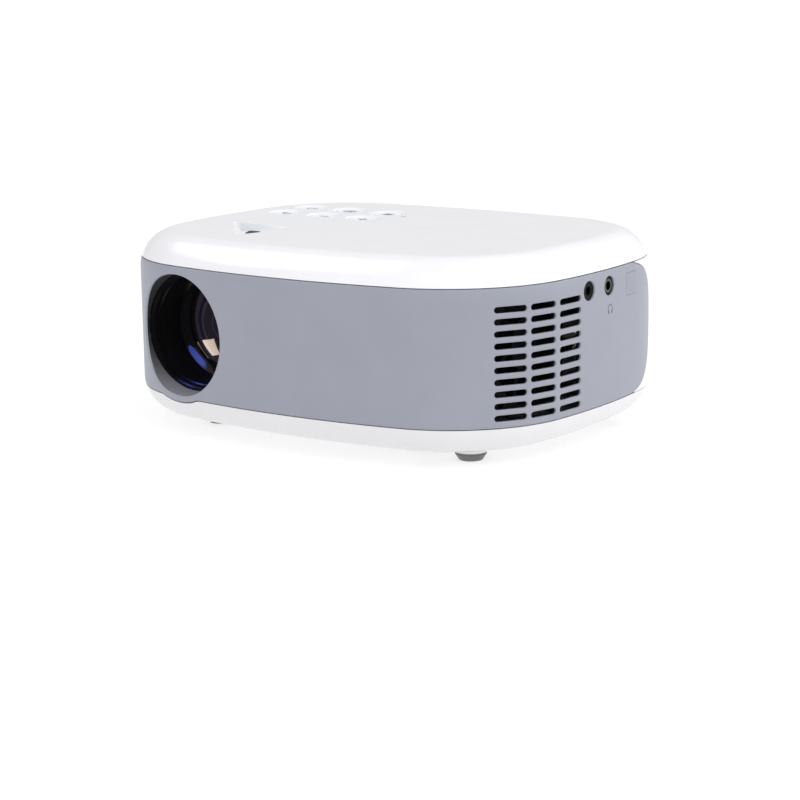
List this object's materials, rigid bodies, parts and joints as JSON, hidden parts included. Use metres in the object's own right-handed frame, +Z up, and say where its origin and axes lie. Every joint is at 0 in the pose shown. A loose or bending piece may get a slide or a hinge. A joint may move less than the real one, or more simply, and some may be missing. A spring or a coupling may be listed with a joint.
{
  "type": "home projector",
  "caption": "Small desktop LCD home projector: white shells round a grey wrap band, recessed front lens with thumbwheel focus, top keypad, side grille and audio jacks.",
  "frame": {"origin": "centre of the plan outline on the surface that the rubber feet stand on", "axes": "+Z up; the lens looks along -Y and sits at the -X end of the front; the jacks and outlet grille are on the +X side"},
  "size_m": [0.2, 0.1597, 0.0796],
  "materials": {
    "shell_white": "gloss",
    "band_grey": "satin",
    "lens_black": "satin",
    "lens_glass": "polished, coated",
    "steel": "satin",
    "wheel_black": "knurled",
    "circuit_board": "solder mask",
    "inner_black": "matte",
    "light_pipe": "frosted",
    "lens_sheet": "grooved",
    "panel_glass": "polished",
    "led_plate": "satin",
    "heatsink_aluminium": "extruded",
    "transformer_iron": "varnished",
    "jack_black": "satin",
    "contact_metal": "plated",
    "window_grey": "gloss",
    "socket_steel": "plated",
    "speaker_paper": "matte",
    "filter_foam": "open foam",
    "foot_rubber": "matte",
    "insert_brass": "turned",
    "key_white": "gloss"
  },
  "bodies": {
    "case": {"av_jack": "jack_black", "board_screws": "steel", "case_screws": "steel", "chip_heatsink": "heatsink_aluminium", "condenser_lens": "lens_glass", "dust_filter": "filter_foam", "fan_frame": "inner_black", "focus_shaft": "steel", "front_fresnel": "lens_sheet", "hdmi_socket": "socket_steel", "headphone_jack": "jack_black", "headphone_sleeve": "contact_metal", "heat_glass": "panel_glass", "inlet_pins": "contact_metal", "ir_receiver": "inner_black", "ir_window": "window_grey", "key_board": "circuit_board", "key_switches": "inner_black", "lcd_panel": "panel_glass", "led_heatsink": "heatsink_aluminium", "led_module": "led_plate", "lens_hood": "band_grey", "lens_tube": "lens_black", "light_box": "inner_black", "light_box_cover": "inner_black", "lower_shell": "shell_white", "main_board": "circuit_board", "power_board": "circuit_board", "power_inlet": "jack_black", "power_transformer": "transformer_iron", "rear_cover": "shell_white", "rear_fresnel": "lens_sheet", "reflector": "inner_black", "rubber_feet": "foot_rubber", "side_board": "circuit_board", "speaker_cone": "speaker_paper", "speaker_frame": "inner_black", "speaker_magnet": "steel", "status_light": "light_pipe", "tripod_insert": "insert_brass", "upper_shell": "shell_white", "usb_sockets": "socket_steel", "wrap_band": "band_grey"},
    "lens": {"lens_barrel": "lens_black", "front_lens": "lens_glass", "rear_lens": "lens_glass", "lens_ring": "lens_black"},
    "focus_wheel": {"focus_wheel": "wheel_black"},
    "fan_rotor": {"fan_rotor": "inner_black"},
    "power_key": {"power_key": "key_white"},
    "source_key": {"source_key": "key_white"},
    "menu_key": {"menu_key": "key_white"},
    "back_key": {"back_key": "key_white"},
    "minus_key": {"minus_key": "key_white"},
    "plus_key": {"plus_key": "key_white"}
  },
  "joints": [
    {"name": "lens_slide", "type": "slide", "parent": "case", "child": "lens", "axis": [0, 1, 0], "range_m": [-0.0025, 0.0025]},
    {"name": "focus_turn", "type": "hinge", "parent": "case", "child": "focus_wheel", "pos_m": [-0.0445, -0.035, 0.0721], "axis": [1, 0, 0], "range_deg": [-48.5, 48.5]},
    {"name": "fan_spin", "type": "hinge", "parent": "case", "child": "fan_rotor", "pos_m": [0.0746, -0.024, 0.04263], "axis": [1, 0, 0], "continuous": true},
    {"name": "power_press", "type": "slide", "parent": "case", "child": "power_key", "axis": [0, 0, -1], "range_m": [0, 0.0006], "stiffness_N_per_m": 400, "springref_m": -0.0006},
    {"name": "source_press", "type": "slide", "parent": "case", "child": "source_key", "axis": [0, 0, -1], "range_m": [0, 0.0006], "stiffness_N_per_m": 400, "springref_m": -0.0006},
    {"name": "menu_press", "type": "slide", "parent": "case", "child": "menu_key", "axis": [0, 0, -1], "range_m": [0, 0.0006], "stiffness_N_per_m": 400, "springref_m": -0.0006},
    {"name": "back_press", "type": "slide", "parent": "case", "child": "back_key", "axis": [0, 0, -1], "range_m": [0, 0.0006], "stiffness_N_per_m": 400, "springref_m": -0.0006},
    {"name": "minus_press", "type": "slide", "parent": "case", "child": "minus_key", "axis": [0, 0, -1], "range_m": [0, 0.0006], "stiffness_N_per_m": 400, "springref_m": -0.0006},
    {"name": "plus_press", "type": "slide", "parent": "case", "child": "plus_key", "axis": [0, 0, -1], "range_m": [0, 0.0006], "stiffness_N_per_m": 400, "springref_m": -0.0006}
  ],
  "couplings": [
    {"joint": "focus_turn", "follows": "lens_slide", "rad_per_m": 333.33}
  ]
}
